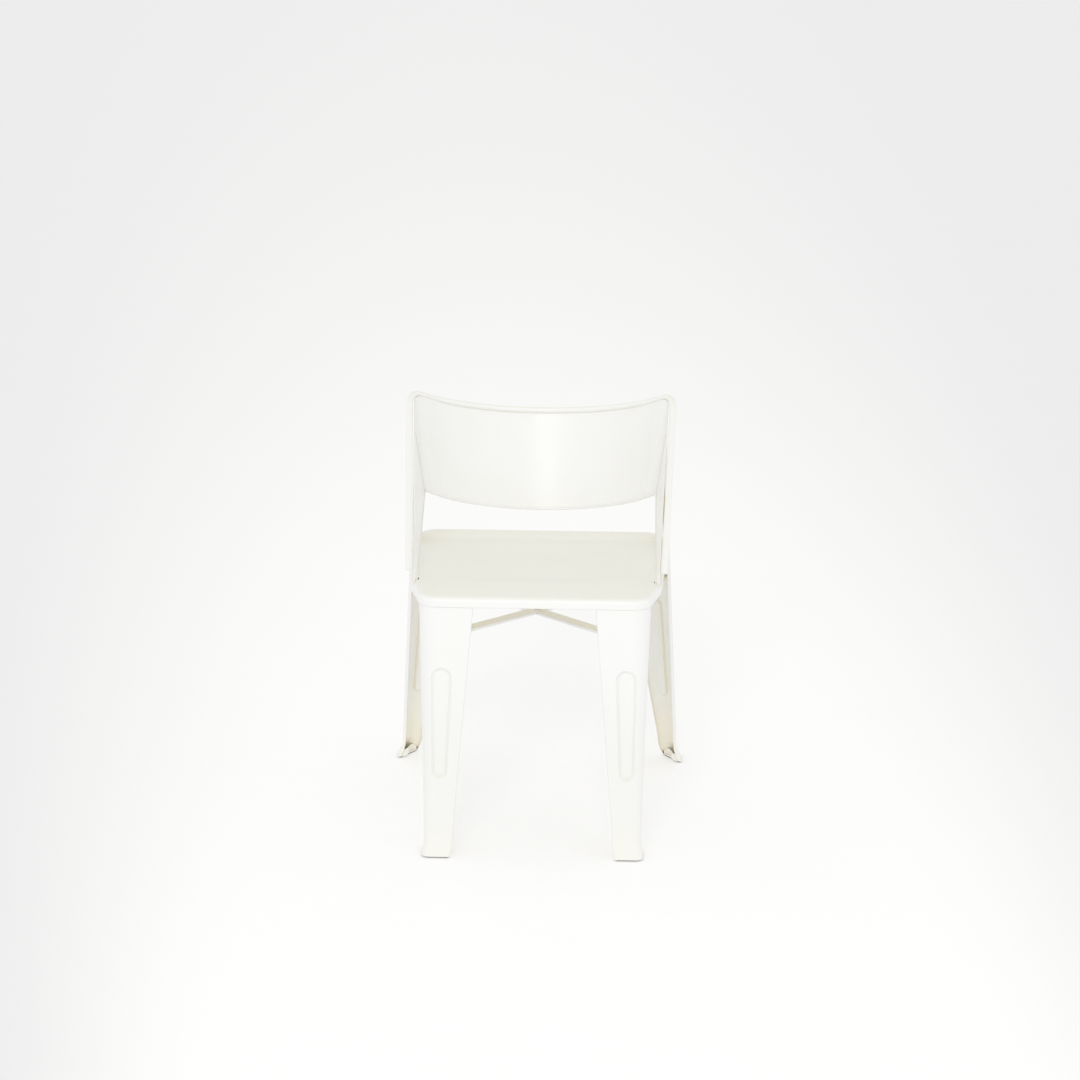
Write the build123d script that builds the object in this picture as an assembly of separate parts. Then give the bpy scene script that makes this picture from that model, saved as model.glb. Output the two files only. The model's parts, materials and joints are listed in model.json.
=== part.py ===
"""Stacking chair in pressed sheet steel.

A dished seat pan, a back band that wraps round into two arms, a bent tube along its rim,
four tapered channel legs with pressed recesses, two crossed braces, foot plates and soles.
Millimetres. X runs to the right seen from the front, Y to the rear, Z up. The origin is on
the floor, under the middle of the chair's overall box.
"""

import math
import os

from build123d import *

# Sheet, fits and overall depth
sheet = 1.2
fit_gap = 0.3
overall_depth = 525.0

# Seat pan
seat_height = 440.0
seat_front_y = -250.0
seat_shoulder_y = -150.0
seat_rear_y = 172.0
seat_front_half = 181.0
seat_shoulder_half = 204.5
seat_rear_half = 226.0
seat_front_radius = 35.0
seat_shoulder_radius = 100.0
seat_rear_radius = 30.0
seat_edge_radius = 9.0
skirt_depth = 17.0
rear_lip_height = 8.0
rear_lip_run = 40.0
rear_lip_flat = 12.0
dish_half_width = 172.0
dish_front_y = -165.0
dish_rear_y = 116.0
dish_slope_run = 75.0
dish_radius = 70.0
dish_depth = 6.0
border_front_width = 16.0
border_rear_width = 8.0
border_angle = 14.0
border_crease_run = 24.0
slit_inset = 8.8
slit_end_y = -145.0
slit_width = 3.5
slit_tip = 1.0
slit_length = 22.0

# Rim tube and the plane of its top run
tube_diameter = 11.0
tube_wall = 1.2
tube_corner_half = 226.0
tube_corner_y = 100.0
tube_corner_rise = 266.0
tube_corner_radius = 38.0
tube_back_y = 243.0
tube_back_rise = 208.5
tube_end_step = 9.0
tube_end_y = -140.0
tube_end_rise = 22.0
tube_end_wall = 2.0

# Back band and arms
band_arc_share = 0.85
band_recline = 19.0
band_bend_radius = 60.0
band_bend_behind = 12.0
band_lower_y = 190.0
band_lower_rise = 38.0
opening_half = 199.6
opening_y = 85.0
opening_rise = 96.0
opening_radius = 7.0
arm_foot_inset = 4.0
arm_foot_y = -156.0
arm_foot_drop = 6.0
arm_twist_steps = 10
seam_gap = 1.8
edge_roll_diameter = 2.0
band_edge_drop = 4.0
band_hem_height = 3.5

# Legs
sole_height = 2.0
ankle_height = 42.0
hem_depth = 6.0
hem_radius = 2.4
foot_radius = 12.0
front_foot_half = 181.5
front_ankle_half = 177.0
front_ankle_y = -258.0
front_top_width = 89.0
front_ankle_width = 46.5
rear_foot_half = 261.0
rear_ankle_half = 250.0
rear_ankle_y = 250.0
rear_top_width = 83.0
rear_ankle_width = 33.5
side_top_width = 88.0
side_ankle_width = 46.0
upright_top_rise = 215.0
upright_top_y = 128.0
upright_foot_width = 10.0
upright_top_width = 8.0
upright_top_side = 34.0
upright_radius = 4.0

# Pressed recesses in the legs
recess_depth = 4.5
recess_slope_run = 5.0
recess_upper_z = 305.0
front_recess_lower_z = 148.0
front_recess_upper_radius = 18.0
front_recess_lower_radius = 13.5
front_recess_upper_offset = 35.0
front_recess_lower_offset = 28.0
rear_recess_lower_z = 132.0
rear_recess_upper_radius = 14.0
rear_recess_lower_radius = 8.0
rear_recess_upper_offset = 30.0
rear_recess_lower_offset = 20.0

# Feet
plate_thickness = 2.0
lip_height = 13.0
lip_swing = 4.0
sole_inset = 3.0

# Cross brace
brace_drop = 73.0
brace_width = 22.0
brace_flange = 2.5
brace_sheet = 1.5
rivet_shank_radius = 3.0
rivet_head_radius = 6.0
rivet_head_height = 2.4
rivet_clearance = 0.1

# Values that follow from the sizes above
skirt_bottom = seat_height - skirt_depth
leg_top = seat_height - seat_edge_radius
tube_corner_z = seat_height + tube_corner_rise
tube_back_z = seat_height + tube_back_rise
tube_end_z = seat_height + tube_end_rise
band_lower_z = seat_height + band_lower_rise
opening_z = seat_height + opening_rise
upright_top_z = seat_height + upright_top_rise
brace_top_z = seat_height - brace_drop
slit_half = seat_shoulder_half - slit_inset
arm_foot_half = seat_shoulder_half - arm_foot_inset
tube_end_half = arm_foot_half + tube_end_step
tube_radius = tube_diameter / 2
edge_roll_radius = edge_roll_diameter / 2
arm_foot_z = seat_height - arm_foot_drop
rear_edge = overall_depth / 2
far = 2 * overall_depth


def space_below(z):
    """Everything under height z."""
    return Pos(0, 0, z) * Box(far, far, far, align=(Align.CENTER, Align.CENTER, Align.MAX))


def corner_centre(before, corner, after, radius):
    """Centre of the arc that rounds a corner of an outline."""
    corner = Vector(*corner)
    to_before = (Vector(*before) - corner).normalized()
    to_after = (Vector(*after) - corner).normalized()
    half_turn = math.acos(to_before.dot(to_after)) / 2
    return corner + (to_before + to_after).normalized() * (radius / math.sin(half_turn))


def between(low_z, low, high_z, high, z):
    """Value at z on the straight line from low at low_z to high at high_z."""
    return low + (high - low) * (z - low_z) / (high_z - low_z)


# Seat pan

seat_front_corner = (seat_front_half, seat_front_y)
seat_shoulder = (seat_shoulder_half, seat_shoulder_y)
seat_rear_corner = (seat_rear_half, seat_rear_y)


def seat_outline(inset):
    """Plan outline of the seat, drawn in by inset."""
    right = [seat_front_corner, seat_shoulder, seat_rear_corner]
    left = [(-x, y) for x, y in reversed(right)]
    radii = [seat_front_radius, seat_shoulder_radius, seat_rear_radius]
    outline = make_face(FilletPolyline(*right, *left, radius=radii + radii[::-1], close=True))
    return offset(outline, -inset) if inset else outline


def above_seat(inset):
    """Space over the seat: level at the front, with an S curve up to the rear lip."""
    level = seat_height - inset
    lip_end = seat_rear_y - rear_lip_flat
    lip_start = lip_end - rear_lip_run
    lip_middle = (lip_start + lip_end) / 2
    top = level + rear_lip_height
    rise = [
        Line((-far, level), (lip_start, level)),
        TangentArc((lip_start, level), (lip_middle, (level + top) / 2), tangent=(1, 0)),
        TangentArc((lip_end, top), (lip_middle, (level + top) / 2), tangent=(-1, 0)),
        Line((lip_end, top), (far, top)),
        Polyline((far, top), (far, far), (-far, far), (-far, level)),
    ]
    return extrude(Plane.YZ * make_face(Curve() + rise), far, both=True)


def border_cut(inset):
    """Wedge that slopes the right side border down, from a crease that starts at the end of the slit."""
    front = Vector(slit_half - border_front_width, slit_end_y, seat_height)
    rear = Vector(seat_rear_half - border_rear_width, seat_rear_y, seat_height)
    along = (rear - front).normalized()
    outward = Vector(along.Y, -along.X, 0)
    slope = math.radians(border_angle)
    normal = outward * math.sin(slope) + Vector(0, 0, math.cos(slope))
    sloped = Plane(origin=front - normal * inset, x_dir=along, z_dir=normal)
    slant_width = border_front_width / math.cos(slope)
    outline = Polyline(
        (-inset, -far),
        (-inset, -slant_width),
        (border_crease_run - inset, 0),
        (border_crease_run - inset, far),
        (far, far),
        (far, -far),
        close=True,
    )
    return extrude(sloped * make_face(outline), far)


def dish_outline(slope_run):
    """Rounded rectangle of the dish, drawn in by slope_run."""
    length = dish_rear_y - dish_front_y
    return Pos(0, (dish_front_y + dish_rear_y) / 2) * RectangleRounded(
        2 * (dish_half_width - slope_run),
        length - 2 * slope_run,
        dish_radius - slope_run / 2,
    )


def dish(inset):
    """Shallow pocket in the middle of the seat, with an S-shaped slope."""
    top = seat_height - inset
    sections = []
    for run, fall in ((0, 0), (0.25, 0.12), (0.5, 0.5), (0.75, 0.88), (1, 1)):
        level = Pos(0, 0, top - fall * dish_depth)
        sections.append(level * dish_outline(run * dish_slope_run))
    return loft(sections)


def seat_form(inset):
    """Filled shape of the seat, drawn in by inset on every side but the open underside."""
    base = skirt_bottom - inset
    top = seat_height + rear_lip_height - inset
    form = extrude(Pos(0, 0, base) * seat_outline(inset), top - base)
    form -= above_seat(inset)
    walls = form.faces().filter_by(lambda face: abs(face.normal_at().Z) < 1e-6)
    rim = [edge for edge in walls.edges() if edge.bounding_box().min.Z > skirt_bottom + sheet]
    form = fillet(rim, seat_edge_radius - inset)
    form -= dish(inset)
    cut = border_cut(inset)
    return form - cut - mirror(cut, about=Plane.YZ)


def slit(wall):
    """Narrow relief with a round front end, beside the right arm; wall adds the sheet round it."""
    ends = []
    slit_start_y = slit_end_y + slit_length
    for end_y, rearward, width in ((slit_end_y, 1, slit_width), (slit_start_y, -1, slit_tip)):
        centre = Pos(slit_half - sheet / 2 - width / 2, end_y + rearward * width / 2)
        ends.append((centre * Rot(0, 0, 90 * rearward) * Circle(width / 2 + wall)).edge())
    base = leg_top + sheet - wall
    return extrude(Pos(0, 0, base) * make_hull(ends), seat_height + sheet - base)


# Back band, arms and rim tube

# The side plane of the band runs inside the tube's corner, through the opening's corner and amid the arm's foot.
seam_step = tube_radius + seam_gap + edge_roll_radius
arm_corner_half = tube_corner_half - seam_step
opening_dz = opening_z - tube_corner_z
opening_dy = opening_y - tube_corner_y
opening_dx = opening_half - arm_corner_half
foot_dz = seat_height - tube_corner_z
foot_dy = (slit_end_y + arm_foot_y) / 2 - tube_corner_y
foot_dx = (slit_half + arm_foot_half) / 2 - arm_corner_half
side_det = opening_dz * foot_dy - foot_dz * opening_dy
side_lean = (opening_dx * foot_dy - foot_dx * opening_dy) / side_det
side_toe = (opening_dz * foot_dx - foot_dz * opening_dx) / side_det


def arm_half(y, z):
    """Half width of the side plane at one place of the side view."""
    return arm_corner_half + side_lean * (z - tube_corner_z) + side_toe * (y - tube_corner_y)


def arc_in_corner(half, sag):
    """Apex and radius of the back's arc between two straight ends, for a half width and a sag."""
    turn = band_arc_share * 2 * math.atan2(sag, half)
    apex = half * math.tan(turn)
    return apex, (apex - sag) / (1 / math.cos(turn) - 1)


def band_plan(z, out):
    """Plan of the band at one height, filled, with its wall moved by out."""
    bend_y = between(opening_z, opening_y + band_bend_behind, tube_corner_z, tube_corner_y, z)
    back_y = tube_back_y + (z - tube_back_z) * math.tan(math.radians(band_recline))
    half = arm_half(bend_y, z)
    apex, radius = arc_in_corner(half, back_y - bend_y)
    front_y = -far / 2
    front = arm_half(front_y, z)
    outline = FilletPolyline(
        (front, front_y),
        (half, bend_y),
        (0, bend_y + apex),
        (-half, bend_y),
        (-front, front_y),
        radius=[0, band_bend_radius, radius, band_bend_radius, 0],
        close=True,
    )
    return Pos(0, 0, z) * offset(make_face(outline), out)


def band_form(out):
    """Tapered tub whose wall is the band's outer or inner face."""
    low = arm_foot_z
    high = tube_corner_z + tube_diameter
    return loft([band_plan(low, out), band_plan(high, out)], ruled=True)


def tube_solid(radius, start_z):
    """Solid rod along the rim, cut level at start_z at both ends."""
    end = Vector(tube_end_half, tube_end_y, tube_end_z)
    corner = Vector(tube_corner_half, tube_corner_y, tube_corner_z)
    back = Vector(0, tube_back_y - tube_corner_y, tube_back_z - tube_corner_z)
    apex, back_radius = arc_in_corner(tube_corner_half, back.length)
    rear = Vector(0, tube_corner_y, tube_corner_z) + back.normalized() * apex
    start = end + (end - corner).normalized() * tube_diameter
    right = [start, corner]
    left = [Vector(-point.X, point.Y, point.Z) for point in reversed(right)]
    path = FilletPolyline(
        *right, rear, *left, radius=[tube_corner_radius, back_radius, tube_corner_radius]
    )
    rod = Part()
    for edge in path.edges():
        section = Plane(origin=edge @ 0, z_dir=edge % 0) * Circle(radius)
        if edge.geom_type == GeomType.LINE:
            rod += extrude(section, edge.length, dir=edge % 0)
        else:
            turn_axis = Axis(edge.arc_center, (edge @ 0 - edge.arc_center).cross(edge % 0))
            rod += revolve(section, turn_axis, math.degrees(edge.length / edge.radius))
    return rod - space_below(start_z)


# Side view of the arm: the tube's straight run, the corner of the sheet and the lower edge.
arm_run = Vector(0, tube_corner_y - tube_end_y, tube_corner_z - tube_end_z).normalized()
sheet_corner = Vector(0, tube_corner_y, tube_corner_z) - arm_run * band_edge_drop


def on_side_plane(place):
    """Point of the side plane at one place of the side view."""
    return Vector(arm_half(place.Y, place.Z), place.Y, place.Z)


def reach_down(high, low, z):
    """Point at height z on the line from high through low."""
    return low + (low - high) * ((low.Z - z) / (high.Z - low.Z))


# Corners of the right arm, on the middle of its sheet.
lower_run = Vector(0, opening_y - slit_end_y, opening_z - seat_height).normalized()
arm_lower_top = on_side_plane(Vector(0, opening_y, opening_z) - lower_run * opening_radius)
arm_front_top = on_side_plane(sheet_corner - arm_run * 2 * tube_corner_radius)
slit_end = Vector(slit_half, slit_end_y, seat_height)
arm_foot = Vector(arm_foot_half, arm_foot_y, seat_height)
arm_lower_foot = reach_down(arm_lower_top, slit_end, arm_foot_z)
arm_front_foot = reach_down(arm_front_top, arm_foot, arm_foot_z)


def side_view():
    """Face of the band seen from the side, from the tube down to where the arms begin."""
    lower_slope = (band_lower_z - opening_z) / (band_lower_y - opening_y)
    top_slope = (tube_back_z - tube_corner_z) / (tube_back_y - tube_corner_y)
    outline = FilletPolyline(
        (arm_front_top.Y, arm_front_top.Z),
        (sheet_corner.Y, sheet_corner.Z),
        (far, sheet_corner.Z + top_slope * (far - sheet_corner.Y)),
        (far, opening_z + lower_slope * (far - opening_y)),
        (opening_y, opening_z),
        (arm_lower_top.Y, arm_lower_top.Z),
        radius=[0, tube_corner_radius, 0, 0, opening_radius, 0],
        close=True,
    )
    return Plane.YZ * make_face(outline)


def arm():
    """Right arm: a twisted strip from the band down to the seat, with a hem along its lower edge."""
    top_half = Vector(math.sqrt(1 + side_toe**2), 0, 0) * (sheet / 2)
    foot_line = arm_foot - slit_end
    foot_half = Vector(-foot_line.Y, foot_line.X, 0).normalized() * (sheet / 2)
    sections = []
    for step in range(arm_twist_steps + 1):
        share = step / arm_twist_steps
        lower = arm_lower_top + (arm_lower_foot - arm_lower_top) * share
        front = arm_front_top + (arm_front_foot - arm_front_top) * share
        half = top_half + (foot_half - top_half) * share
        folded = lower + (front - lower).normalized() * band_hem_height
        outline = Polyline(
            lower + half,
            front + half,
            front - half,
            folded - half,
            folded - half * 3,
            lower - half * 3,
            close=True,
        )
        sections.append(make_face(outline))
    return loft(sections, ruled=True)


def arm_edge():
    """Rolled front edge of the right arm, and the flange that its sheet carries on behind the tube."""
    along = (arm_front_top - arm_front_foot).normalized()
    roll_end = arm_front_top - along * tube_diameter
    across = Plane(arm_front_foot, x_dir=(1, 0, 0), z_dir=along)
    roll = extrude(across * Circle(edge_roll_radius), (roll_end - arm_front_foot).length)
    roll += Pos(roll_end) * Sphere(edge_roll_radius)
    start = arm_front_foot + along * ((tube_end_z - arm_foot_z) / along.Z)
    flange = Pos(seam_step / 2, tube_radius + fit_gap + sheet / 2) * Rectangle(seam_step, sheet)
    across = Plane(start, x_dir=(1, 0, 0), z_dir=along)
    return roll + extrude(across * flange, (roll_end - start).length)


# Legs: every leg is built on the right and mirrored for the left.


class LegSection:
    """One level of a channel leg: an outer corner and two flanges that run from it."""

    def __init__(self, z, corner, rearward, face_width, side_width, radius):
        self.z = z
        self.corner = corner
        self.rearward = rearward
        self.face_width = face_width
        self.side_width = side_width
        self.radius = radius

    def place(self, u, v):
        """Point u along the front or rear face and v along the side flange."""
        return (self.corner[0] - u, self.corner[1] + self.rearward * v)

    def face(self, points, radii):
        """Flat face through points, at this level."""
        outline = FilletPolyline(*[self.place(u, v) for u, v in points], radius=radii, close=True)
        return Pos(0, 0, self.z) * make_face(outline)

    def channel(self):
        """Sheet section with hemmed free edges."""
        a, b, t, h = self.face_width, self.side_width, sheet, hem_depth
        points = [
            (a, h), (a, 0), (0, 0), (0, b), (h, b),
            (h, b - t), (t, b - t), (t, t), (a - t, t), (a - t, h),
        ]
        inner = hem_radius - t
        radii = [0, hem_radius, self.radius, hem_radius, 0, 0, inner, self.radius - t, inner, 0]
        return self.face(points, radii)

    def filled(self, inset):
        """Section closed across the open side, drawn in by inset."""
        a, b, m, h = self.face_width, self.side_width, inset, hem_depth
        points = [(a - m, h), (a - m, m), (m, m), (m, b - m), (h, b - m)]
        return self.face(points, [0, 0, self.radius - m, 0, 0])

    def inside(self):
        """Space in front of the two inner faces, without end."""
        t = sheet
        return self.face([(far, t), (t, t), (t, far), (far, far)], [0, self.radius - t, 0, 0])


def level_between(low, high, z):
    """Section at height z on the straight stretch between two sections."""
    mix = [between(low.z, low.corner[i], high.z, high.corner[i], z) for i in range(2)]
    widths = [
        between(low.z, getattr(low, name), high.z, getattr(high, name), z)
        for name in ("face_width", "side_width", "radius")
    ]
    return LegSection(z, mix, low.rearward, *widths)


def flared_foot(ankle, foot_corner):
    """Sections from the ankle down to the foot, flaring out in a curve."""
    sections = []
    for share in (1.0, 0.65, 0.3):
        z = ankle.z + (sole_height - ankle.z) * share
        corner = [ankle.corner[i] + (foot_corner[i] - ankle.corner[i]) * share**2 for i in range(2)]
        sections.append(
            LegSection(z, corner, ankle.rearward, ankle.face_width, ankle.side_width, ankle.radius)
        )
    return sections


def recess(ankle, top, inset, lower_z, upper_radius, lower_radius, upper_offset, lower_offset, depth, start):
    """Long tapered recess in the front or rear face, from start to depth below the face."""
    lower = level_between(ankle, top, lower_z)
    upper = level_between(ankle, top, recess_upper_z)
    low_point = Vector(*lower.place(lower_offset, 0), lower.z)
    high_point = Vector(*upper.place(upper_offset, 0), upper.z)
    face_up = Vector(0, high_point.Y - low_point.Y, high_point.Z - low_point.Z).normalized()
    inward = Vector(-1, 0, 0).cross(face_up) * ankle.rearward
    plane = Plane(origin=low_point, x_dir=(1, 0, 0), z_dir=inward)
    upper_local = plane.to_local_coords(high_point)
    faces = []
    for level, narrowing in ((start, 0), (depth, recess_slope_run)):
        rings = [
            Circle(lower_radius + inset - narrowing).edge(),
            (Pos(upper_local.X, upper_local.Y) * Circle(upper_radius + inset - narrowing)).edge(),
        ]
        faces.append(plane.offset(level) * make_hull(rings))
    return loft(faces, ruled=True)


def leg_solid(sections, ankle, top, recess_sizes):
    """Channel through the sections, with its recess pressed in."""
    channel = loft([section.channel() for section in sections], ruled=True)
    envelope = loft([section.filled(0) for section in sections], ruled=True)
    bulge = recess(ankle, top, sheet, *recess_sizes, recess_depth + sheet, sheet / 2)
    pocket = recess(ankle, top, 0, *recess_sizes, recess_depth, -sheet)
    return channel + (bulge & envelope) - pocket


front_centre = corner_centre((0, seat_front_y), seat_front_corner, seat_shoulder, seat_front_radius)
front_top_radius = seat_front_radius - sheet - fit_gap
front_fit = LegSection(
    skirt_bottom,
    (front_centre.X + front_top_radius, front_centre.Y - front_top_radius),
    1,
    front_top_width,
    side_top_width,
    front_top_radius,
)
front_ankle = LegSection(
    ankle_height, (front_ankle_half, front_ankle_y), 1, front_ankle_width, side_ankle_width, foot_radius
)
front_top = level_between(front_ankle, front_fit, leg_top)
front_sections = flared_foot(front_ankle, (front_foot_half, -rear_edge)) + [front_ankle, front_top]
front_recess = (
    front_recess_lower_z,
    front_recess_upper_radius,
    front_recess_lower_radius,
    front_recess_upper_offset,
    front_recess_lower_offset,
)

rear_centre = corner_centre(seat_shoulder, seat_rear_corner, (0, seat_rear_y), seat_rear_radius)
rear_top_radius = seat_rear_radius + fit_gap + sheet
rear_top = LegSection(
    leg_top,
    (rear_centre.X + rear_top_radius, rear_centre.Y + rear_top_radius),
    -1,
    rear_top_width,
    side_top_width,
    rear_top_radius,
)
rear_ankle = LegSection(
    ankle_height, (rear_ankle_half, rear_ankle_y), -1, rear_ankle_width, side_ankle_width, foot_radius
)
rear_sections = flared_foot(rear_ankle, (rear_foot_half, rear_edge)) + [rear_ankle, rear_top]
rear_recess = (
    rear_recess_lower_z,
    rear_recess_upper_radius,
    rear_recess_lower_radius,
    rear_recess_upper_offset,
    rear_recess_lower_offset,
)


def upright():
    """Tongue of the right rear leg that carries on above the seat to the side of the band."""
    foot = LegSection(
        leg_top,
        (rear_top.corner[0], rear_top.corner[1] - rear_top_radius),
        -1,
        upright_foot_width,
        side_top_width - rear_top_radius,
        upright_radius,
    )
    touch_half = arm_half(upright_top_y - upright_top_side, upright_top_z)
    top_half = touch_half + sheet / 2 + fit_gap + sheet
    top = LegSection(
        upright_top_z,
        (top_half, upright_top_y),
        -1,
        upright_top_width,
        upright_top_side,
        upright_radius,
    )
    return loft([foot.channel(), top.channel()], ruled=True) - band_form(sheet / 2 + fit_gap)


# Feet


def foot_plate(section, leg):
    """Plate that closes the bottom of a channel, with a lip turned up along its open side."""
    margin = sheet + fit_gap
    floor = LegSection(
        sole_height, section.corner, section.rearward, section.face_width, section.side_width, section.radius
    )
    plate = extrude(floor.filled(margin), plate_thickness)
    a, b, h = section.face_width - margin, section.side_width - margin, hem_depth
    ends = [Vector(*floor.place(a, h)), Vector(*floor.place(h, b))]
    chord = ends[1] - ends[0]
    across = Vector(-chord.Y, chord.X).normalized() * lip_swing
    quarter = [ends[0] + chord * 0.25 + across, ends[0] + chord * 0.75 - across]
    line = Spline(ends[0], *quarter, ends[1])
    inward = (Vector(*floor.place(0, 0)) - ends[0] - chord * 0.5).normalized() * sheet
    back = Pos(inward) * line
    rim = make_face(Curve() + [line, back, Line(line @ 0, back @ 0), Line(line @ 1, back @ 1)])
    lip = extrude(Pos(0, 0, sole_height) * rim, lip_height)
    return (plate + lip - leg).solids().sort_by(SortBy.VOLUME)[-1]


def sole(section):
    """Thin pad under one foot."""
    floor = LegSection(
        0, section.corner, section.rearward, section.face_width, section.side_width, section.radius
    )
    return extrude(floor.filled(sole_inset), sole_height)


# Cross brace


def brace(front_side, top_z):
    """Pressed strip from one front leg to the rear leg on the other side."""
    front = level_between(front_ankle, front_top, brace_top_z)
    rear = level_between(rear_ankle, rear_top, brace_top_z)
    start = Vector(front_side * front.corner[0], front.corner[1], top_z)
    end = Vector(-front_side * rear.corner[0], rear.corner[1], top_z)
    along = end - start
    half, inner = brace_width / 2, brace_width / 2 - brace_sheet
    profile = Polyline(
        (-half, -brace_sheet - brace_flange),
        (-half, 0),
        (half, 0),
        (half, -brace_sheet - brace_flange),
        (inner, -brace_sheet - brace_flange),
        (inner, -brace_sheet),
        (-inner, -brace_sheet),
        (-inner, -brace_sheet - brace_flange),
        close=True,
    )
    across = Vector(-along.Y, along.X, 0).normalized()
    strip = extrude(Plane(start, x_dir=across, z_dir=along.normalized()) * make_face(profile), along.length)
    front_room = loft([front_ankle.inside(), front_top.inside()], ruled=True)
    rear_room = loft([rear_ankle.inside(), rear_top.inside()], ruled=True)
    front_room = front_room if front_side > 0 else mirror(front_room, about=Plane.YZ)
    rear_room = rear_room if front_side < 0 else mirror(rear_room, about=Plane.YZ)
    return strip & front_room & rear_room, start, end


def crossing_place(start, end):
    """Where a brace passes the middle of the chair."""
    return start + (end - start) * (start.X / (start.X - end.X))


def build():
    """All nodes of the chair by name."""
    nodes = {}

    seat_outer = seat_form(0)
    trough = slit(sheet) & seat_outer
    slot = slit(0)
    seat = seat_outer - seat_form(sheet) + trough + mirror(trough, about=Plane.YZ)
    nodes["seat_pan"] = seat - slot - mirror(slot, about=Plane.YZ)

    rod = tube_solid(tube_radius, tube_end_z - tube_radius)
    bore = tube_solid(tube_radius - tube_wall, tube_end_z - tube_radius + tube_end_wall)

    tub = band_form(sheet / 2)
    side = side_view()
    shell = (tub - band_form(-sheet / 2)) & extrude(side, far, both=True)
    lower_strip = side - Pos(0, 0, band_hem_height) * side
    shell += (tub - band_form(-sheet * 3 / 2)) & extrude(lower_strip, far, both=True)
    side_arm = arm() + arm_edge() - seat_outer
    shell += side_arm + mirror(side_arm, about=Plane.YZ)
    shell -= rod
    nodes["back_shell"] = shell.solids().sort_by(SortBy.VOLUME)[-1]
    nodes["back_tube"] = rod - bore

    front_leg = leg_solid(front_sections, front_ankle, front_top, front_recess)
    rear_leg = leg_solid(rear_sections, rear_ankle, rear_top, rear_recess) + upright() - seat_outer
    for name, leg, foot in (
        ("front", front_leg, front_sections[0]),
        ("rear", rear_leg, rear_sections[0]),
    ):
        plate = foot_plate(foot, leg)
        pad = sole(foot)
        for piece, solid in (("leg", leg), ("foot_plate", plate), ("sole", pad)):
            nodes[f"{name}_right_{piece}"] = solid
            nodes[f"{name}_left_{piece}"] = mirror(solid, about=Plane.YZ)

    under_top = brace_top_z - brace_sheet
    over, over_start, over_end = brace(-1, brace_top_z)
    under, under_start, under_end = brace(1, under_top)
    crossing = crossing_place(over_start, over_end)
    notch_plane = Plane(
        crossing - Vector(0, 0, brace_sheet), x_dir=under_end - under_start, z_dir=(0, 0, 1)
    )
    over -= notch_plane * Box(
        far,
        brace_width + 2 * fit_gap,
        brace_flange * 2,
        align=(Align.CENTER, Align.CENTER, Align.MAX),
    )
    hole = Pos(crossing) * Cylinder(rivet_shank_radius + rivet_clearance, far)
    nodes["brace_over"] = over - hole
    nodes["brace_under"] = under - hole

    grip = 2 * brace_sheet
    shank = Pos(crossing) * Cylinder(
        rivet_shank_radius, grip, align=(Align.CENTER, Align.CENTER, Align.MAX)
    )
    dome_radius = (rivet_head_radius**2 + rivet_head_height**2) / (2 * rivet_head_height)
    head = Pos(0, 0, rivet_head_height - dome_radius) * Sphere(dome_radius) - space_below(0)
    tail = mirror(head, about=Plane.XY)
    nodes["brace_rivet"] = shank + Pos(crossing) * head + Pos(crossing - Vector(0, 0, grip)) * tail
    return nodes


os.makedirs("parts", exist_ok=True)
for node, shape in build().items():
    export_step(shape, f"parts/{node}.step")
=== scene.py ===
"""Studio picture of a stacking chair in pressed, painted sheet steel.

The chair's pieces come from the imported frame, in metres: X to the right seen from the front,
Y to the rear, Z up, origin on the floor. This script paints them, adds the fine detail of the
paint and sets up the floor, the soft studio light and the camera.
"""

import json
import logging
import math
from dataclasses import dataclass
from enum import Enum

import bpy
from mathutils import Matrix, Vector

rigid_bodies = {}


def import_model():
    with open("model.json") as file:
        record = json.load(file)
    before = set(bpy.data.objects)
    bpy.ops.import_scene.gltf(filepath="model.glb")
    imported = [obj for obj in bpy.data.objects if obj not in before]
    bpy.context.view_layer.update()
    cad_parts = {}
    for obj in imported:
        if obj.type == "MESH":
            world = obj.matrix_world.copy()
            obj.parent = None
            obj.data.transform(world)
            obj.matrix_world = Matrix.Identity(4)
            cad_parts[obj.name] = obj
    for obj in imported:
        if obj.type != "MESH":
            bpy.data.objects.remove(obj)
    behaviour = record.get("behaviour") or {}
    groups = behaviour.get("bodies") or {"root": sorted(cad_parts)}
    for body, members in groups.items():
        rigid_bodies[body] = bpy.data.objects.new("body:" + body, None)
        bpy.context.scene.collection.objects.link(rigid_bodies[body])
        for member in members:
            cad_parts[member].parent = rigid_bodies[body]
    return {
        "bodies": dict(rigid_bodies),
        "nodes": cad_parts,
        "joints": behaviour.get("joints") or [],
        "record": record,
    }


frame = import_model()

LOG = logging.getLogger("stacking_chair")

Colour = tuple[float, float, float]
Point = tuple[float, float, float]
Span = tuple[float, float]

# Sockets of a mix node that mixes colours.
MIX_FIRST = 6
MIX_SECOND = 7
MIX_RESULT = 2

# Values between which a mask rises from nothing to full: of any share, of a noise, of the cosine
# between a face and its rounded edge, and of the upward part of a face's normal.
WHOLE = (0.0, 1.0)
NOISE_MIDDLE = (0.35, 0.65)
NOISE_WIDE = (0.3, 0.7)
NOISE_HIGH = (0.45, 0.75)
NOISE_PEAKS = (0.5, 0.72)
SHARP_TURN = (0.995, 0.85)
LOOKING_UP = (0.35, 0.95)

# Grain of the breaks along an edge, per metre, and how much of the edge's mask they leave.
BREAK_SCALE = 90.0
BREAK_SHARE = (0.55, 1.0)

BEVEL_SAMPLES = 4
CLOSED_SAMPLES = 8


class Slot(Enum):
    """Material slots of the record."""

    STEEL = "cream_paint"
    PLATE = "foot_plate_paint"
    RIVET = "rivet_paint"
    SOLE = "sole_rubber"


class LightRole(Enum):
    """What a studio light is for."""

    KEY = "key"
    FILL = "fill"


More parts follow.
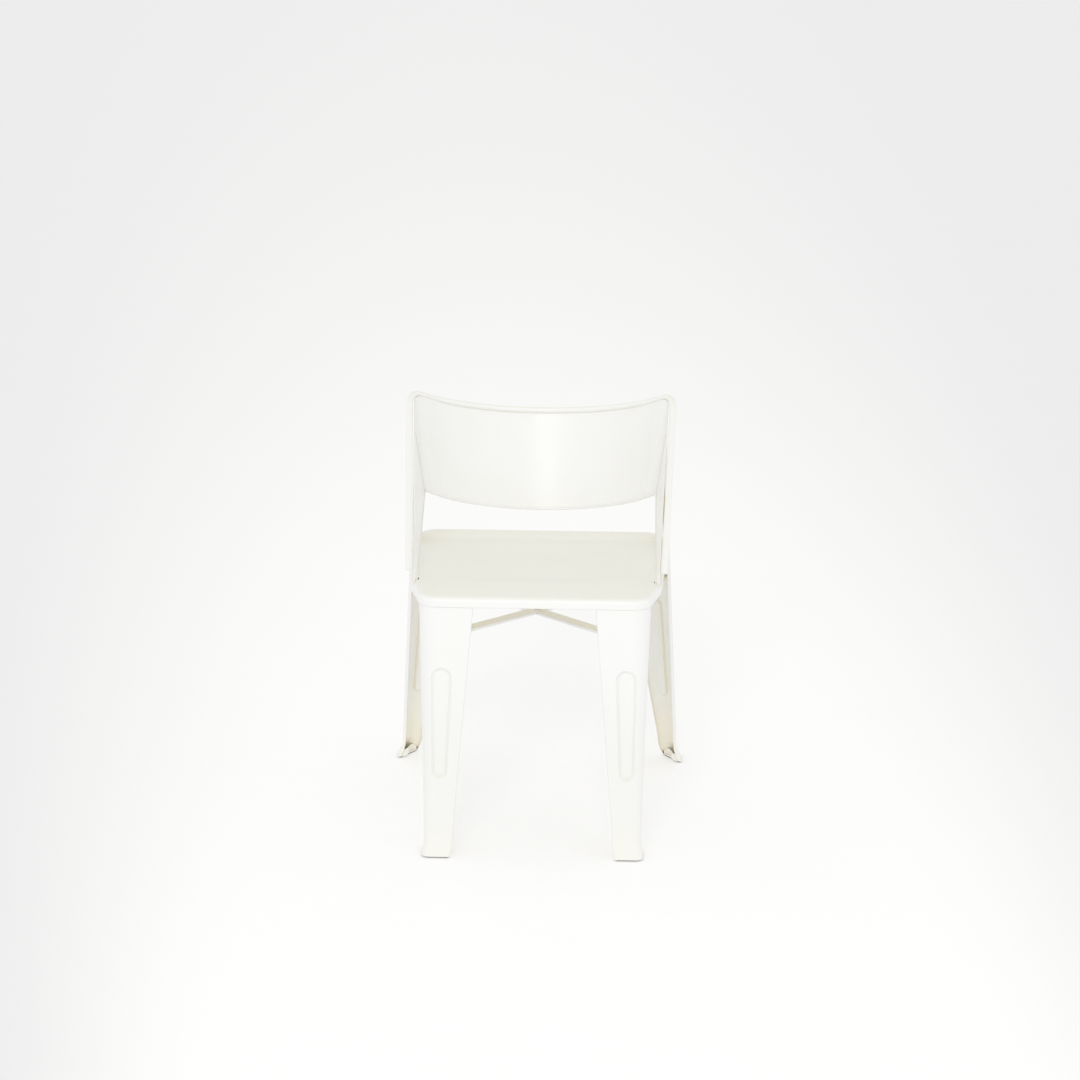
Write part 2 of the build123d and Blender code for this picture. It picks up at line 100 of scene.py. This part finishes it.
@dataclass(frozen=True)
class PaintFinish:
    """Sprayed and baked paint on sheet steel.

    Attributes:
        name: Material name.
        base: Colour of the clean paint.
        low_shade: Colour of the painted shade near the floor, darker towards the bottom.
        tone: Creamier colour of patches of thicker paint, and painted shade on level faces.
        warm_shade: Colour of the painted shade in deep, closed places, tinted like the paint's bounced
            light.
        seam_shade: Colour of the painted shade in the narrow seams.
        roughness: Mean roughness of the paint film.
        peel_scale: Grain of the orange peel, per metre.
        peel_height: Height of the orange peel, in metres.
        edge_radius: Radius that the paint rounds sharp edges to, in metres.
    """

    name: str
    base: Colour
    low_shade: Colour
    tone: Colour
    warm_shade: Colour
    seam_shade: Colour
    roughness: float
    peel_scale: float = 420.0
    peel_height: float = 0.00006
    edge_radius: float = 0.0014


@dataclass(frozen=True)
class ClosedRange:
    """Which places count as closed in.

    Attributes:
        distance: How near a surface has to be to close a place in, in metres.
        open: Openness at which the mask starts, 1 for a place in the open.
        closed: Openness at which the mask is full.
    """

    distance: float
    open: float
    closed: float


@dataclass(frozen=True)
class PaintFilm:
    """What all the paints of the chair have in common.

    Attributes:
        hollow_shade: Deep places, which take the painted shade tinted like bounced light.
        hollow_shade_share: Share of that painted shade in the deepest places.
        seam: Narrow gaps, which take the painted seam shade.
        patch_share: Share of the creamy tone in thick patches.
        top_shade_share: Share of the creamier colour as painted shade on level faces.
        low_shade_heights: Heights at which the painted shade near the floor starts and is darkest, in
            metres.
        low_shade_share: Share of the painted shade near the floor where it is darkest.
        edge: Colour of the painted highlight on sharp edges.
        edge_highlight_share: Share of that painted highlight on the edges.
        dust: Colour of the dust.
        dust_amount: How much of a level face the dust covers.
        dust_share: Share of the dust's colour where it lies.
        dust_roughness: Roughness that the dust adds.
        shine_scale: Grain of the uneven shine, per metre.
        shine_swing: How far the roughness swings to each side of its mean.
        refraction: Refractive index of the paint.
        coat: Weight of the gloss on top of the film.
        coat_roughness: Roughness of that gloss.
    """

    hollow_shade: ClosedRange = ClosedRange(distance=0.14, open=0.80, closed=0.05)
    hollow_shade_share: float = 0.75
    seam: ClosedRange = ClosedRange(distance=0.007, open=0.46, closed=0.14)
    patch_share: float = 0.12
    top_shade_share: float = 0.95
    low_shade_heights: Span = (0.44, 0.12)
    low_shade_share: float = 0.8
    edge: Colour = (0.93, 0.93, 0.92)
    edge_highlight_share: float = 0.35
    dust: Colour = (0.78, 0.77, 0.74)
    dust_amount: float = 0.35
    dust_share: float = 0.3
    dust_roughness: float = 0.25
    shine_scale: float = 35.0
    shine_swing: float = 0.05
    refraction: float = 1.48
    coat: float = 0.15
    coat_roughness: float = 0.18


@dataclass(frozen=True)
class RubberFinish:
    """Moulded matt rubber.

    Attributes:
        name: Material name.
        base: Colour of the rubber.
        scuffed: Colour of scuffed and dusty rubber.
        roughness: Roughness of the rubber.
        grain_scale: Grain of the moulded surface, per metre.
        grain_height: Height of that grain, in metres.
        edge_radius: Radius of the moulded edges, in metres.
        worn_radius: How far wear reaches from an edge, in metres.
        worn_share: Share of the scuffed colour on edges.
        scuff_scale: Grain of the scuffs, per metre.
        scuff_share: Share of the scuffed colour in a scuff.
    """

    name: str
    base: Colour
    scuffed: Colour
    roughness: float
    grain_scale: float = 1600.0
    grain_height: float = 0.00009
    edge_radius: float = 0.0005
    worn_radius: float = 0.0008
    worn_share: float = 0.5
    scuff_scale: float = 140.0
    scuff_share: float = 0.6


@dataclass(frozen=True)
class FloorFinish:
    """Pale studio floor: white round the chair, with faint painted shade to the sides and far behind it.

    The white fills an oval in the camera's view. Places in that view are tangents of the sight
    line's angles: to the right of straight ahead, and below the horizon.

    Attributes:
        name: Material name.
        white: Colour round the chair.
        falloff_shade: Colour of the painted shade well outside the oval.
        grain: Colour of the faint grain.
        grain_scale: Size of the grain, per metre.
        grain_share: Largest share of the grain's colour.
        glow: Share of the floor's light that takes no shadow, as the camera sees it.
        bounce: The same share in the light that the floor throws back.
        oval_right: Place of the oval's middle at the horizon.
        oval_lean: How far the middle moves to the right on the way down.
        oval_below: Place of the oval's middle below the horizon.
        oval_width: Half of the oval's width.
        oval_height: Half of the oval's height.
        fade: Where the painted shade starts and is full, 1 on the oval itself.
        nearest: Depth before the camera where the view is mirrored, in metres, so that the
            fade goes on behind the camera.
    """

    name: str = "StudioFloor"
    white: Colour = (0.995, 0.995, 0.995)
    falloff_shade: Colour = (0.84, 0.84, 0.84)
    grain: Colour = (0.92, 0.92, 0.92)
    grain_scale: float = 3.0
    grain_share: float = 0.06
    glow: float = 0.3
    bounce: float = 0.8
    oval_right: float = -0.058
    oval_lean: float = 0.139
    oval_below: float = 0.961
    oval_width: float = 0.272
    oval_height: float = 0.813
    fade: Span = (0.84, 1.32)
    nearest: float = 2.7


@dataclass(frozen=True)
class RoomLight:
    """Even light from the room.

    Attributes:
        wall: Strength of the light from the walls.
        ceiling_share: Share of that strength straight above.
        ceiling_tint: Colour of the light from above.
        overhead: Upward part of a direction where the ceiling starts and is full.
        seen: White that the camera and reflections see past the floor.
    """

    wall: float = 0.98
    ceiling_share: float = 0.9
    ceiling_tint: Colour = (1.0, 0.995, 0.97)
    overhead: Span = (0.35, 0.95)
    seen: Colour = (0.9, 0.9, 0.9)


@dataclass(frozen=True)
class StudioLight:
    """One soft box.

    Attributes:
        role: What the light is for.
        place: Where the light stands, in metres.
        width: Width of the box, in metres.
        height: Height of the box, in metres.
        power: Power in watts.
        target: Point that it looks at, in metres.
    """

    role: LightRole
    place: Point
    width: float
    height: float
    power: float
    target: Point = (0.0, 0.0, 0.4)


@dataclass(frozen=True)
class PhotoCamera:
    """Camera of the picture.

    Attributes:
        place: Where the camera stands, in metres.
        pitch: Angle below the horizon, in degrees.
        yaw: Turn to the right, in degrees.
        roll: Turn of the picture clockwise, in degrees.
        focal_pixels: Focal length in pixels of the photo's width.
        photo_width: Width of the photo in pixels.
        sensor_width: Width of the sensor, in millimetres.
        sight: How far the camera sees, in metres.
    """

    place: Point = (0.089, -3.773, 1.436)
    pitch: float = 14.32
    yaw: float = -1.32
    roll: float = 0.56
    focal_pixels: float = 2300.0
    photo_width: float = 1080.0
    sensor_width: float = 36.0
    sight: float = 200.0


FILM = PaintFilm()
STEEL_PAINT = PaintFinish(
    name="CreamPaint",
    base=(0.905, 0.904, 0.896),
    low_shade=(0.84, 0.845, 0.82),
    tone=(0.838, 0.834, 0.762),
    warm_shade=(0.955, 0.885, 0.67),
    seam_shade=(0.085, 0.075, 0.05),
    roughness=0.46,
)
PLATE_PAINT = PaintFinish(
    name="FootPlatePaint",
    base=(0.90, 0.895, 0.87),
    low_shade=(0.88, 0.875, 0.85),
    tone=(0.88, 0.87, 0.83),
    warm_shade=(0.90, 0.84, 0.68),
    seam_shade=(0.30, 0.28, 0.22),
    roughness=0.42,
)
RIVET_PAINT = PaintFinish(
    name="RivetPaint",
    base=(0.80, 0.79, 0.74),
    low_shade=(0.78, 0.77, 0.72),
    tone=(0.76, 0.74, 0.68),
    warm_shade=(0.70, 0.64, 0.52),
    seam_shade=(0.07, 0.06, 0.05),
    roughness=0.38,
)
SOLE_RUBBER = RubberFinish(
    name="SoleRubber",
    base=(0.035, 0.034, 0.033),
    scuffed=(0.16, 0.155, 0.15),
    roughness=0.78,
)
KEY_LIGHT = StudioLight(LightRole.KEY, place=(-0.8, -8.0, 5.4), width=3.0, height=2.0, power=125.0)
FILL_LIGHT = StudioLight(LightRole.FILL, place=(2.8, -2.6, 1.5), width=2.0, height=1.6, power=2.0)


class Graph:
    """Short way to add and join the nodes of one shader tree."""

    def __init__(self, tree: bpy.types.NodeTree) -> None:
        """Keeps the tree that the nodes go into."""
        self.tree = tree

    def add(self, kind: str, **settings: object) -> bpy.types.Node:
        """Adds a node.

        Args:
            kind: Type name of the node.
            settings: Properties of the node; a dict named inputs sets its sockets.

        Returns:
            The node.
        """
        node = self.tree.nodes.new(kind)
        sockets = settings.pop("inputs", {})
        for name, value in settings.items():
            setattr(node, name, value)
        for name, value in sockets.items():
            self.feed(node.inputs[name], value)
        return node

    def feed(self, socket: bpy.types.NodeSocket, value: object) -> None:
        """Joins or sets one input.

        Args:
            socket: The input.
            value: An output socket, a number or a colour.
        """
        if isinstance(value, bpy.types.NodeSocket):
            self.tree.links.new(value, socket)
        elif isinstance(value, tuple) and len(value) == 3 and socket.type == "RGBA":
            socket.default_value = (*value, 1.0)
        else:
            socket.default_value = value

    def math(
        self, operation: str, first: object, second: object = 0.5, clamp: bool = False
    ) -> bpy.types.NodeSocket:
        """Adds a math node.

        Args:
            operation: Name of the operation.
            first: First value.
            second: Second value, which operations on one value ignore.
            clamp: Whether the result stays between 0 and 1.

        Returns:
            The result.
        """
        node = self.add("ShaderNodeMath", operation=operation, use_clamp=clamp)
        self.feed(node.inputs[0], first)
        self.feed(node.inputs[1], second)
        return node.outputs[0]

    def scale(self, value: object, share: float) -> bpy.types.NodeSocket:
        """Adds a product with a share and returns it."""
        return self.math("MULTIPLY", value, share)

    def remap(self, value: object, source: Span, target: Span = WHOLE) -> bpy.types.NodeSocket:
        """Adds a smooth, clamped map range.

        Args:
            value: What is mapped.
            source: Values that become the two ends of the target.
            target: The two ends of the result.

        Returns:
            The mapped value.
        """
        node = self.add("ShaderNodeMapRange", interpolation_type="SMOOTHSTEP")
        for side, (low, high) in (("From", source), ("To", target)):
            node.inputs[f"{side} Min"].default_value = low
            node.inputs[f"{side} Max"].default_value = high
        self.feed(node.inputs["Value"], value)
        return node.outputs["Result"]

    def blend(self, share: object, first: object, second: object) -> bpy.types.NodeSocket:
        """Adds a colour mix.

        Args:
            share: Share of the second colour.
            first: First colour.
            second: Second colour.

        Returns:
            The mixed colour.
        """
        node = self.add("ShaderNodeMix", data_type="RGBA")
        self.feed(node.inputs["Factor"], share)
        self.feed(node.inputs[MIX_FIRST], first)
        self.feed(node.inputs[MIX_SECOND], second)
        return node.outputs[MIX_RESULT]

    def noise(self, scale: object, detail: float, roughness: float = 0.5) -> bpy.types.NodeSocket:
        """Adds a noise over the object's own coordinates.

        Args:
            scale: Grain of the noise, per metre.
            detail: How many finer grains are added.
            roughness: How strong the finer grains are.

        Returns:
            The noise's value.
        """
        place = self.add("ShaderNodeTexCoord").outputs["Object"]
        node = self.add("ShaderNodeTexNoise", inputs={"Vector": place, "Scale": scale})
        node.inputs["Detail"].default_value = detail
        node.inputs["Roughness"].default_value = roughness
        return node.outputs[0]

    def axes(self, vector: bpy.types.NodeSocket) -> bpy.types.NodeOutputs:
        """Splits a vector and returns its X, Y and Z."""
        return self.add("ShaderNodeSeparateXYZ", inputs={"Vector": vector}).outputs


class EffectLibrary:
    """Shader node groups that several materials share."""

    def __init__(self) -> None:
        """Makes all the groups."""
        self.peel = self._orange_peel()
        self.edges = self._edge_mask()
        self.closed = self._closed_mask()
        self.dust = self._dust_mask()
        self.patches = self._patch_mask()

    @staticmethod
    def _new(name: str, inputs: dict[str, float], outputs: dict[str, str]) -> tuple[Graph, dict, dict]:
        """Makes an empty group with its sockets.

        Args:
            name: Group name.
            inputs: Names and default values of the number inputs.
            outputs: Names and socket types of the outputs.

        Returns:
            The graph, the input sockets and the output sockets by name.
        """
        tree = bpy.data.node_groups.new(name, "ShaderNodeTree")
        for label, value in inputs.items():
            socket = tree.interface.new_socket(label, in_out="INPUT", socket_type="NodeSocketFloat")
            socket.default_value = value
        for label, kind in outputs.items():
            tree.interface.new_socket(label, in_out="OUTPUT", socket_type=kind)
        graph = Graph(tree)
        source = graph.add("NodeGroupInput")
        target = graph.add("NodeGroupOutput")
        return graph, source.outputs, target.inputs

    def _orange_peel(self) -> bpy.types.NodeTree:
        """Makes the fine ripple of a sprayed or moulded surface over its rounded edges.

        Returns:
            The group.
        """
        graph, given, out = self._new(
            "OrangePeel",
            {"Scale": 420.0, "Height": 0.00006, "Edge Radius": 0.0007},
            {"Normal": "NodeSocketVector"},
        )
        rounded = graph.add(
            "ShaderNodeBevel", samples=BEVEL_SAMPLES, inputs={"Radius": given["Edge Radius"]}
        )
        ripple = graph.noise(given["Scale"], detail=2.0)
        bump = graph.add(
            "ShaderNodeBump",
            inputs={"Distance": given["Height"], "Height": ripple, "Normal": rounded.outputs[0]},
        )
        bump.inputs["Strength"].default_value = 1.0
        graph.feed(out["Normal"], bump.outputs[0])
        return graph.tree

    def _edge_mask(self) -> bpy.types.NodeTree:
        """Makes a mask of the sharp edges, broken up by noise.

        Returns:
            The group.
        """
        graph, given, out = self._new("EdgeMask", {"Radius": 0.0012}, {"Mask": "NodeSocketFloat"})
        rounded = graph.add("ShaderNodeBevel", samples=BEVEL_SAMPLES, inputs={"Radius": given["Radius"]})
        flat = graph.add("ShaderNodeNewGeometry").outputs["Normal"]
        dot = graph.add("ShaderNodeVectorMath", operation="DOT_PRODUCT")
        graph.feed(dot.inputs[0], rounded.outputs[0])
        graph.feed(dot.inputs[1], flat)
        sharp = graph.remap(dot.outputs["Value"], SHARP_TURN)
        broken = graph.remap(graph.noise(BREAK_SCALE, detail=3.0), NOISE_MIDDLE, BREAK_SHARE)
        graph.feed(out["Mask"], graph.math("MULTIPLY", sharp, broken))
        return graph.tree

    def _closed_mask(self) -> bpy.types.NodeTree:
        """Makes a mask of the places that are closed in within a distance.

        Returns:
            The group.
        """
        graph, given, out = self._new(
            "ClosedMask", {"Distance": 0.006, "Open": 0.75, "Closed": 0.25}, {"Mask": "NodeSocketFloat"}
        )
        around = graph.add(
            "ShaderNodeAmbientOcclusion", samples=CLOSED_SAMPLES, inputs={"Distance": given["Distance"]}
        )
        span = graph.math("SUBTRACT", given["Open"], given["Closed"])
        fall = graph.math("SUBTRACT", given["Open"], around.outputs["AO"])
        graph.feed(out["Mask"], graph.math("DIVIDE", fall, span, clamp=True))
        return graph.tree

    def _dust_mask(self) -> bpy.types.NodeTree:
        """Makes a mask of thin dust on faces that look up, and a plain mask of those faces.

        Returns:
            The group.
        """
        graph, given, out = self._new(
            "DustMask",
            {"Amount": 0.5, "Scale": 60.0},
            {"Mask": "NodeSocketFloat", "Level": "NodeSocketFloat"},
        )
        normal = graph.add("ShaderNodeNewGeometry").outputs["Normal"]
        level = graph.remap(graph.axes(normal)["Z"], LOOKING_UP)
        graph.feed(out["Level"], level)
        speckle = graph.remap(graph.noise(given["Scale"], detail=6.0, roughness=0.7), NOISE_HIGH)
        share = graph.math("MULTIPLY", level, speckle)
        graph.feed(out["Mask"], graph.math("MULTIPLY", share, given["Amount"]))
        return graph.tree

    def _patch_mask(self) -> bpy.types.NodeTree:
        """Makes a mask of wide, faint patches where the paint film is thicker.

        Returns:
            The group.
        """
        graph, given, out = self._new("PatchMask", {"Scale": 5.0}, {"Mask": "NodeSocketFloat"})
        wide = graph.noise(given["Scale"], detail=3.0, roughness=0.55)
        graph.feed(out["Mask"], graph.remap(wide, NOISE_MIDDLE))
        return graph.tree


class MaterialShop:
    """Makes the materials from finishes and the shared effects."""

    def __init__(self, effects: EffectLibrary) -> None:
        """Keeps the shared effects."""
        self.effects = effects

    @staticmethod
    def _blank(name: str) -> tuple[bpy.types.Material, Graph, bpy.types.Node]:
        """Makes a material that has only an output node.

        Args:
            name: Material name.

        Returns:
            The material, its graph and the output node.
        """
        material = bpy.data.materials.new(name)
        material.use_nodes = True
        material.node_tree.nodes.clear()
        graph = Graph(material.node_tree)
        return material, graph, graph.add("ShaderNodeOutputMaterial")

    @staticmethod
    def _effect(graph: Graph, group: bpy.types.NodeTree, **inputs: object) -> bpy.types.NodeOutputs:
        """Adds one shared effect to a material.

        Args:
            graph: Graph of the material.
            group: The effect.
            inputs: Values of the effect's inputs, by name in lower case with underscores.

        Returns:
            The effect's outputs.
        """
        node = graph.add("ShaderNodeGroup", node_tree=group)
        for name, value in inputs.items():
            graph.feed(node.inputs[name.replace("_", " ").title()], value)
        return node.outputs

    def _closed(self, graph: Graph, places: ClosedRange) -> bpy.types.NodeSocket:
        """Adds a mask of closed places.

        Args:
            graph: Graph of the material.
            places: Which places count as closed.

        Returns:
            The mask.
        """
        return self._effect(
            graph,
            self.effects.closed,
            distance=places.distance,
            open=places.open,
            closed=places.closed,
        )["Mask"]

    def paint(self, finish: PaintFinish) -> bpy.types.Material:
        """Makes a sprayed paint.

        Args:
            finish: Colours and grain of the paint.

        Returns:
            The material.
        """
        material, graph, output = self._blank(finish.name)
        patches = self._effect(graph, self.effects.patches)["Mask"]
        hollow_shade = self._closed(graph, FILM.hollow_shade)
        seam = self._closed(graph, FILM.seam)
        edge = self._effect(graph, self.effects.edges)["Mask"]
        dust_and_level = self._effect(graph, self.effects.dust, amount=FILM.dust_amount)
        dust = dust_and_level["Mask"]
        normal = self._effect(
            graph,
            self.effects.peel,
            scale=finish.peel_scale,
            height=finish.peel_height,
            edge_radius=finish.edge_radius,
        )["Normal"]

        # Painted shade near the floor: the paint darkens towards the bottom.
        height = graph.axes(graph.add("ShaderNodeTexCoord").outputs["Object"])["Z"]
        low = graph.remap(height, FILM.low_shade_heights, (0.0, FILM.low_shade_share))
        # Creamier colour: random patches of thicker paint, and painted shade on faces that look up.
        creamy = graph.math(
            "MAXIMUM",
            graph.scale(patches, FILM.patch_share),
            graph.scale(dust_and_level["Level"], FILM.top_shade_share),
        )
        colour = graph.blend(low, finish.base, finish.low_shade)
        for share, tint in (
            (creamy, finish.tone),
            # Painted shade in deep places, tinted like the paint's bounced light.
            (graph.scale(hollow_shade, FILM.hollow_shade_share), finish.warm_shade),
            # Painted highlight along the sharp edges.
            (graph.scale(edge, FILM.edge_highlight_share), FILM.edge),
            (graph.scale(dust, FILM.dust_share), FILM.dust),
            # Painted dark shade in the narrow seams and crevices.
            (seam, finish.seam_shade),
        ):
            colour = graph.blend(share, colour, tint)

        uneven = graph.noise(FILM.shine_scale, detail=4.0)
        shine = graph.remap(uneven, NOISE_WIDE, (-FILM.shine_swing, FILM.shine_swing))
        roughness = graph.math("ADD", shine, finish.roughness)
        roughness = graph.math("ADD", roughness, graph.scale(dust, FILM.dust_roughness))
        shader = graph.add(
            "ShaderNodeBsdfPrincipled",
            inputs={
                "Base Color": colour,
                "Roughness": roughness,
                "Normal": normal,
                "IOR": FILM.refraction,
                "Coat Weight": FILM.coat,
                "Coat Roughness": FILM.coat_roughness,
            },
        )
        graph.feed(output.inputs["Surface"], shader.outputs[0])
        return material

    def rubber(self, finish: RubberFinish) -> bpy.types.Material:
        """Makes a moulded rubber.

        Args:
            finish: Colours and grain of the rubber.

        Returns:
            The material.
        """
        material, graph, output = self._blank(finish.name)
        edge = self._effect(graph, self.effects.edges, radius=finish.worn_radius)["Mask"]
        normal = self._effect(
            graph,
            self.effects.peel,
            scale=finish.grain_scale,
            height=finish.grain_height,
            edge_radius=finish.edge_radius,
        )["Normal"]
        uneven = graph.noise(finish.scuff_scale, detail=5.0, roughness=0.65)
        scuff = graph.remap(uneven, NOISE_PEAKS, (0.0, finish.scuff_share))
        worn = graph.math("MAXIMUM", scuff, graph.scale(edge, finish.worn_share))
        colour = graph.blend(worn, finish.base, finish.scuffed)
        shader = graph.add(
            "ShaderNodeBsdfPrincipled",
            inputs={"Base Color": colour, "Normal": normal, "Roughness": finish.roughness},
        )
        graph.feed(output.inputs["Surface"], shader.outputs[0])
        return material

    def floor(self, finish: FloorFinish, eye: Point) -> bpy.types.Material:
        """Makes the studio floor.

        Args:
            finish: Colours of the floor and the oval that they follow.
            eye: Where the camera stands, in metres.

        Returns:
            The material.
        """
        material, graph, output = self._blank(finish.name)
        fade = self._floor_fade(graph, finish, eye)
        # Painted shade: the floor darkens outside the oval, as the studio light falls off.
        white = graph.blend(fade, finish.white, finish.falloff_shade)
        uneven = graph.noise(finish.grain_scale, detail=3.0)
        grain = graph.remap(uneven, NOISE_WIDE, (0.0, finish.grain_share))
        colour = graph.blend(grain, white, finish.grain)
        matt = graph.add("ShaderNodeBsdfDiffuse", inputs={"Color": colour})
        light = graph.add("ShaderNodeEmission", inputs={"Color": colour})
        seen = graph.add("ShaderNodeLightPath").outputs["Is Camera Ray"]
        free = graph.remap(seen, WHOLE, (finish.bounce, finish.glow))
        mix = graph.add("ShaderNodeMixShader")
        graph.feed(mix.inputs[0], graph.math("MAXIMUM", fade, free))
        graph.feed(mix.inputs[1], matt.outputs[0])
        graph.feed(mix.inputs[2], light.outputs[0])
        graph.feed(output.inputs["Surface"], mix.outputs[0])
        return material

    @staticmethod
    def _floor_fade(graph: Graph, finish: FloorFinish, eye: Point) -> bpy.types.NodeSocket:
        """Adds the mask of the floor's painted shade, outside an oval in the camera's view.

        Args:
            graph: Graph of the floor's material.
            finish: Sizes of the oval.
            eye: Where the camera stands, in metres.

        Returns:
            The mask.
        """
        place = graph.axes(graph.add("ShaderNodeTexCoord").outputs["Object"])
        beyond = graph.math("ABSOLUTE", graph.math("SUBTRACT", place["Y"], eye[1] + finish.nearest))
        depth = graph.math("ADD", beyond, finish.nearest)
        below = graph.math("DIVIDE", eye[2], depth)
        right = graph.math("DIVIDE", graph.math("SUBTRACT", place["X"], eye[0]), depth)
        middle = graph.math("ADD", graph.scale(below, finish.oval_lean), finish.oval_right)
        across = graph.math("DIVIDE", graph.math("SUBTRACT", right, middle), finish.oval_width)
        away = graph.math("DIVIDE", graph.math("SUBTRACT", finish.oval_below, below), finish.oval_height)
        squares = [graph.math("MULTIPLY", part, part) for part in (across, away)]
        return graph.remap(graph.math("SQRT", graph.math("ADD", *squares)), finish.fade)


@dataclass
class Chair:
    """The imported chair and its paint.

    Attributes:
        nodes: CAD pieces by name.
        slots: Record's material slot of each piece.
        shop: Where the materials are made.
    """

    nodes: dict[str, bpy.types.Object]
    slots: dict[str, Slot]
    shop: MaterialShop

    @classmethod
    def from_frame(cls, loaded: dict, shop: MaterialShop) -> "Chair":
        """Reads the pieces and their slots from the loaded frame.

        Args:
            shop: Where the materials are made.

        Returns:
            The chair.
        """
        slots = {part["node"]: Slot(part["material_slot"]) for part in loaded["record"]["subparts"]}
        return cls(loaded["nodes"], slots, shop)

    def paint(self) -> None:
        """Gives every piece the material of its slot."""
        materials = {
            Slot.STEEL: self.shop.paint(STEEL_PAINT),
            Slot.PLATE: self.shop.paint(PLATE_PAINT),
            Slot.RIVET: self.shop.paint(RIVET_PAINT),
            Slot.SOLE: self.shop.rubber(SOLE_RUBBER),
        }
        for name, node in self.nodes.items():
            slot = self.slots[name]
            node.data.materials.clear()
            node.data.materials.append(materials[slot])
            LOG.info("%s takes %s", name, slot.value)


@dataclass
class Studio:
    """Floor, light and camera round the chair.

    Attributes:
        shop: Where the floor's material is made.
        lights: The soft boxes.
        camera: The picture's camera.
        floor: The floor's finish.
        room: Even light from the room.
        reach: How far the floor goes to each side, in metres.
    """

    shop: MaterialShop
    lights: tuple[StudioLight, ...] = (KEY_LIGHT, FILL_LIGHT)
    camera: PhotoCamera = PhotoCamera()
    floor: FloorFinish = FloorFinish()
    room: RoomLight = RoomLight()
    reach: float = 90.0

    def set_up(self) -> None:
        """Builds the whole studio."""
        self._lay_floor()
        for light in self.lights:
            self._hang(light)
        self._light_world()
        self._place_camera()
        bpy.context.scene.view_settings.view_transform = "Standard"

    def _lay_floor(self) -> None:
        """Lays a floor large enough to fill the picture up to the horizon."""
        sides = ((-1, -1), (1, -1), (1, 1), (-1, 1))
        corners = [(x * self.reach, y * self.reach, 0.0) for x, y in sides]
        mesh = bpy.data.meshes.new("studio_floor")
        mesh.from_pydata(corners, [], [(0, 1, 2, 3)])
        floor = bpy.data.objects.new("studio_floor", mesh)
        mesh.materials.append(self.shop.floor(self.floor, self.camera.place))
        bpy.context.scene.collection.objects.link(floor)

    @staticmethod
    def _hang(light: StudioLight) -> None:
        """Hangs one soft box and turns it to its target.

        Args:
            light: The soft box.
        """
        lamp = bpy.data.lights.new(light.role.value, "AREA")
        lamp.shape = "RECTANGLE"
        lamp.size = light.width
        lamp.size_y = light.height
        lamp.energy = light.power
        holder = bpy.data.objects.new(light.role.value, lamp)
        aim = Vector(light.target) - Vector(light.place)
        holder.location = light.place
        holder.rotation_euler = aim.to_track_quat("-Z", "Y").to_euler()
        bpy.context.scene.collection.objects.link(holder)

    def _light_world(self) -> None:
        """Sets the room's light, and white where the camera looks past the floor."""
        world = bpy.data.worlds.new("studio")
        world.use_nodes = True
        world.node_tree.nodes.clear()
        graph = Graph(world.node_tree)
        path = graph.add("ShaderNodeLightPath").outputs
        seen = path["Is Camera Ray"]
        for ray in ("Is Glossy Ray", "Is Transmission Ray"):
            seen = graph.math("MAXIMUM", seen, path[ray])
        sight = graph.add("ShaderNodeTexCoord").outputs["Generated"]
        overhead = graph.remap(graph.axes(sight)["Z"], self.room.overhead)
        walls = (self.room.wall,) * 3
        above = self.room.wall * self.room.ceiling_share
        ceiling = tuple(above * tint for tint in self.room.ceiling_tint)
        light = graph.blend(seen, graph.blend(overhead, walls, ceiling), self.room.seen)
        sky = graph.add("ShaderNodeBackground", inputs={"Color": light})
        output = graph.add("ShaderNodeOutputWorld")
        graph.feed(output.inputs["Surface"], sky.outputs[0])
        bpy.context.scene.world = world

    def _place_camera(self) -> None:
        """Places the camera of the picture."""
        shot = self.camera
        pitch, yaw, roll = (math.radians(angle) for angle in (shot.pitch, shot.yaw, shot.roll))
        level = Vector((math.sin(yaw), math.cos(yaw), 0.0))
        right = Vector((math.cos(yaw), -math.sin(yaw), 0.0))
        rise = Vector((0.0, 0.0, 1.0))
        ahead = math.cos(pitch) * level - math.sin(pitch) * rise
        above = math.sin(pitch) * level + math.cos(pitch) * rise
        side = math.cos(roll) * right + math.sin(roll) * above
        above = math.cos(roll) * above - math.sin(roll) * right
        data = bpy.data.cameras.new("photo_camera")
        data.sensor_width = shot.sensor_width
        data.lens = shot.focal_pixels / shot.photo_width * shot.sensor_width
        data.clip_end = shot.sight
        holder = bpy.data.objects.new("photo_camera", data)
        turn = Matrix((side, above, -ahead)).transposed().to_4x4()
        holder.matrix_world = Matrix.Translation(shot.place) @ turn
        bpy.context.scene.collection.objects.link(holder)
        bpy.context.scene.camera = holder


def main() -> None:
    """Builds the scene."""
    logging.basicConfig(level=logging.INFO, format="%(name)s: %(message)s")
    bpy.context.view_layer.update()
    shop = MaterialShop(EffectLibrary())
    Chair.from_frame(frame, shop).paint()
    Studio(shop).set_up()


if __name__ == "__main__":
    main()
